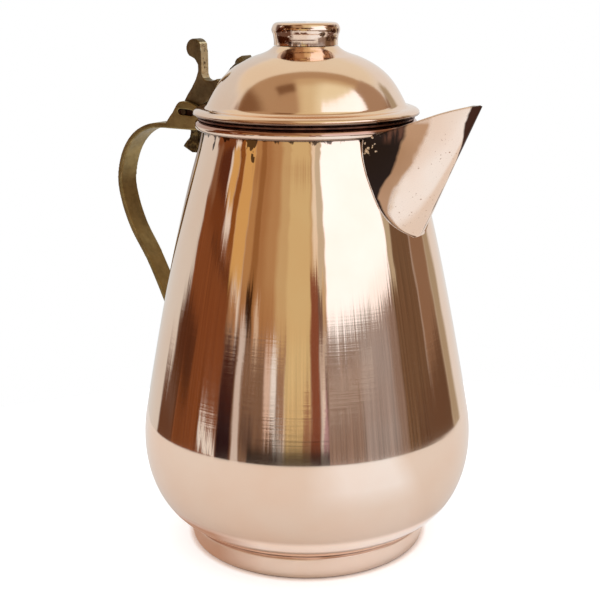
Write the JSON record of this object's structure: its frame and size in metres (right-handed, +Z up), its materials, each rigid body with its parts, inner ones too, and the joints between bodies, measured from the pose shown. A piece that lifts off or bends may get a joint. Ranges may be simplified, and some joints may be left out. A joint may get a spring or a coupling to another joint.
{
  "type": "lidded milk jug",
  "caption": "Spun copper milk jug with a folded V spout, a soldered foot ring, a cast brass strap handle and a domed lid hinged on a thumb lift.",
  "frame": {"origin": "centre of the whole object's box, on the surface it stands on; the jug's own axis lies 10.25 mm towards +X from it", "axes": "+Z up, +X the way the spout points, -X the handle's side, +Y across the jug"},
  "size_m": [0.1758, 0.1412, 0.22],
  "materials": {
    "polished_copper": null,
    "satin_copper": null,
    "rivet_copper": null,
    "cast_brass": "cast brass with an olive-brown patina",
    "dark_brass": "cast brass with a dark brown patina",
    "iron_wire": "plain iron wire inside the rolled rim"
  },
  "bodies": {
    "jug": {"body_shell": "polished_copper", "rim_wire": "iron_wire", "foot_ring": "satin_copper", "spout": "satin_copper", "handle": "cast_brass", "hinge_pin": "dark_brass", "tail_rivet_upper": "rivet_copper", "tail_rivet_lower": "rivet_copper", "foot_rivet_upper": "rivet_copper", "foot_rivet_lower": "rivet_copper"},
    "lid": {"lid_shell": "polished_copper", "lid_collar": "satin_copper", "lid_knob": "polished_copper", "thumb_lift": "dark_brass", "lift_rivet_lower": "rivet_copper", "lift_rivet_upper": "rivet_copper"}
  },
  "joints": [
    {"name": "lid_hinge", "type": "hinge", "parent": "jug", "child": "lid", "pos_m": [-0.04925, 0, 0.1814], "axis": [0, -1, 0], "range_deg": [0, 100]}
  ]
}
